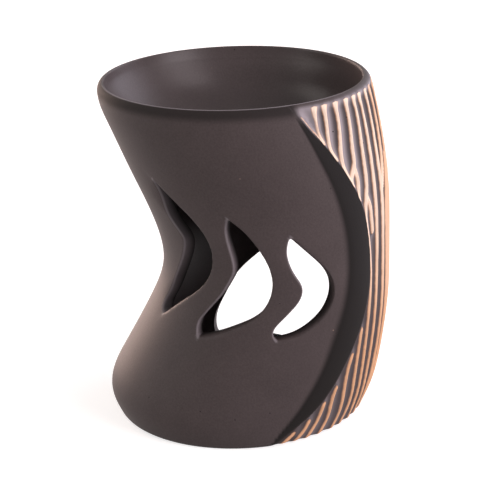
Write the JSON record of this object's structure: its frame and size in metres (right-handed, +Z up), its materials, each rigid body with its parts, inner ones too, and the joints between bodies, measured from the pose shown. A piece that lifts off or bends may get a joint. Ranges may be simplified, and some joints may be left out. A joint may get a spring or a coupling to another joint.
{
  "type": "essential oil burner",
  "caption": "Bent, hollow ceramic oil burner with an open bowl on top, curved cut-outs in front, a fluted side panel and an arch at the back for its tealight.",
  "frame": {"origin": "on the table, in the middle of the burner's length and width", "axes": "+Z up through the bowl; +Y towards the back, where the arch for the tealight is; +X towards the fluted panel"},
  "size_m": [0.1011, 0.0958, 0.12],
  "materials": {
    "dark_glaze": "satin dark brown-grey glaze",
    "foil": "drawn bright foil",
    "wax": null,
    "cotton_wick": "waxed cotton",
    "tinned_steel": "thin tinned sheet"
  },
  "bodies": {
    "burner": {"burner_body": "dark_glaze"},
    "tealight": {"tealight_cup": "foil", "tealight_wax": "wax", "tealight_wick": "cotton_wick", "tealight_wick_tab": "tinned_steel"}
  },
  "joints": [
    {"name": "tealight_slide", "type": "slide", "parent": "burner", "child": "tealight", "axis": [0, 1, 0], "range_m": [0, 0.075]}
  ]
}
